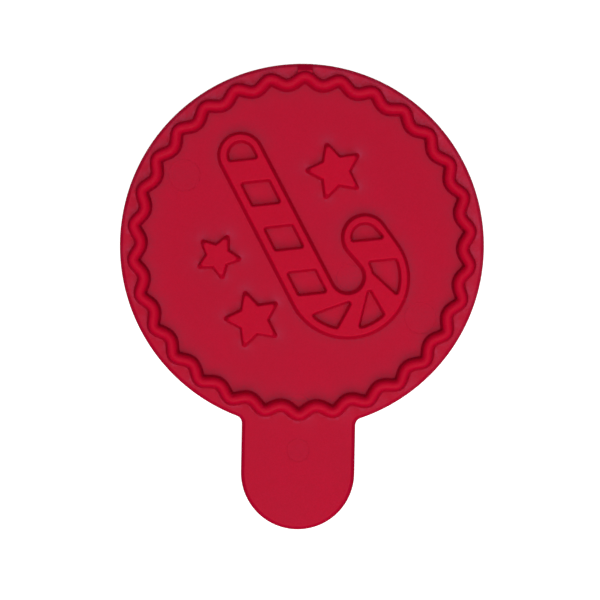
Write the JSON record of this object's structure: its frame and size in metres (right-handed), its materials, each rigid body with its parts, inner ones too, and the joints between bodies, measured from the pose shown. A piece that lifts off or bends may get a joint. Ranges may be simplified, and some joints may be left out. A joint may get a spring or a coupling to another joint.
{
  "type": "cookie press",
  "caption": "Flat round stamp with a thumb tab for pressing a candy cane, stars and a fluted border into rolled dough.",
  "frame": {"origin": "centre of the disc, on the plate's flat back face", "axes": "+Z out of the stamp face, -Y along the thumb tab, +X to the right of the picture as it is looked at"},
  "size_m": [0.09, 0.1151, 0.0048],
  "materials": {
    "plate_plastic": "satin-gloss red moulded plastic, slightly translucent",
    "relief_plastic": "glossy red moulded plastic with soft moulded corners"
  },
  "bodies": {
    "root": {"stamp_disc": "plate_plastic", "handle_tab": "plate_plastic", "fluted_ridge": "relief_plastic", "candy_cane": "relief_plastic", "star_upper_right": "relief_plastic", "star_left": "relief_plastic", "star_lower_left": "relief_plastic", "gate_stub": "plate_plastic"}
  },
  "joints": []
}
